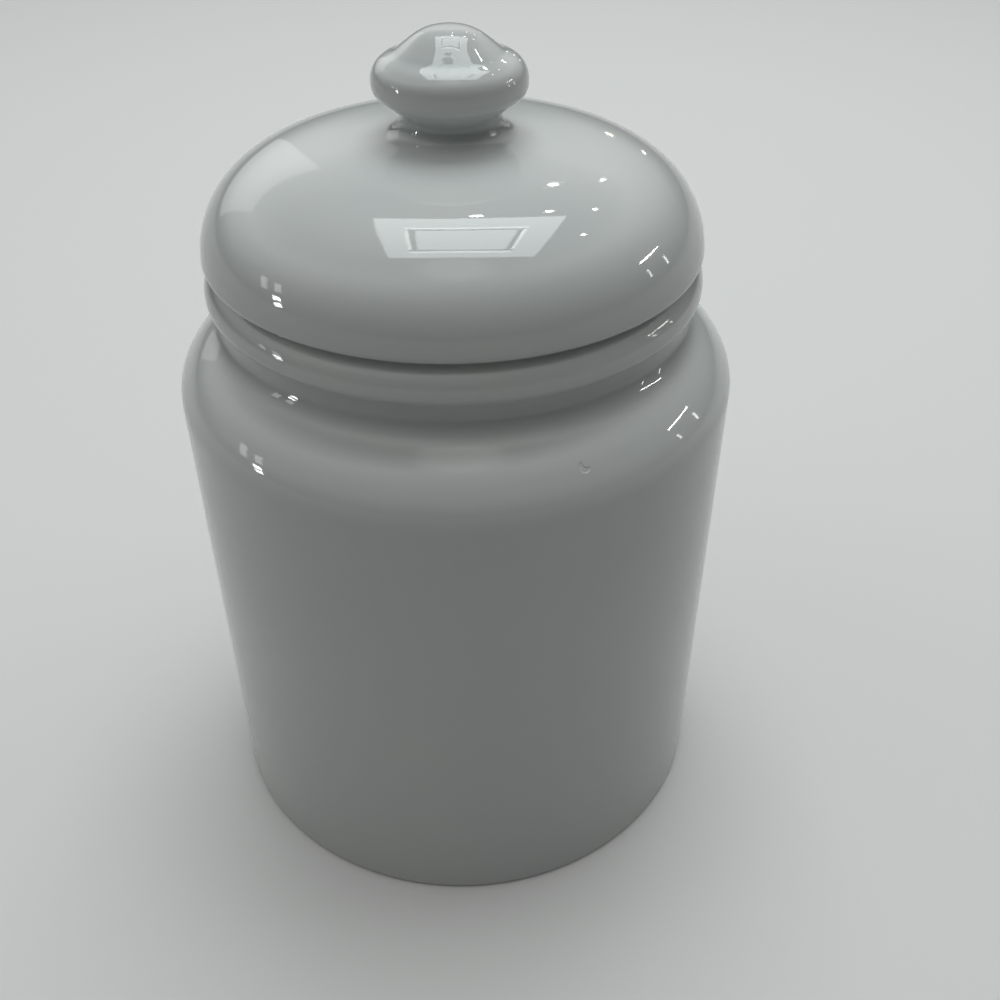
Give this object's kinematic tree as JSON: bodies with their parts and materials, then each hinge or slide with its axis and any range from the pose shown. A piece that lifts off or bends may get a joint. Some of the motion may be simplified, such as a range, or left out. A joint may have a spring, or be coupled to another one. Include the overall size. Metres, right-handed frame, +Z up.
{
  "type": "biscuit jar",
  "caption": "Round white glazed ceramic biscuit jar with a rolled rim on a waisted neck and a lift-off domed lid with an ogee knob.",
  "frame": {"origin": "centre of the foot ring, on the plane that the jar stands on", "axes": "+Z up along the jar's axis, through the middle of the knob; the jar is round, so +X and +Y are free"},
  "size_m": [0.16, 0.16, 0.2408],
  "materials": {
    "white_glaze": "glossy clear glaze over a white body"
  },
  "bodies": {
    "jar": {"jar": "white_glaze"},
    "lid": {"lid": "white_glaze", "knob": "white_glaze"}
  },
  "joints": [
    {"name": "lid_lift", "type": "slide", "parent": "jar", "child": "lid", "axis": [0, 0, 1], "range_m": [0, 0.08]}
  ]
}
